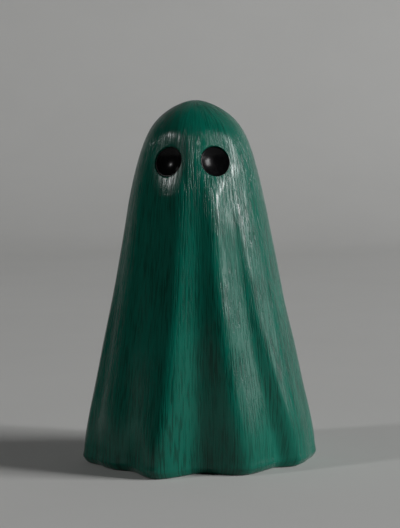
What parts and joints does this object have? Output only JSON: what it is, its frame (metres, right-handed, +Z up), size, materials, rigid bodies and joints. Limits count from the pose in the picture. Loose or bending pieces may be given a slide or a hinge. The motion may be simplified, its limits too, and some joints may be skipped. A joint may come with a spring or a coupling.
{
  "type": "ghost figurine",
  "caption": "Hollow glazed ceramic ghost ornament: a draped sheet with a domed head, deep folds, a rolled hem and hollow black glass eyes set in pressed sockets.",
  "frame": {"origin": "middle of the foot ring's box, on the surface that the ghost stands on", "axes": "+Z up the ghost, -Y the way its face looks, +X towards its left"},
  "size_m": [0.0812, 0.073, 0.126],
  "materials": {
    "green_glaze": "satin gloss emerald glaze over fine vertical combing",
    "black_glass": "opaque polished black",
    "dark_cement": "cured dark adhesive"
  },
  "bodies": {
    "root": {"body": "green_glaze", "left_eye": "black_glass", "right_eye": "black_glass", "left_eye_cement": "dark_cement", "right_eye_cement": "dark_cement"}
  },
  "joints": []
}
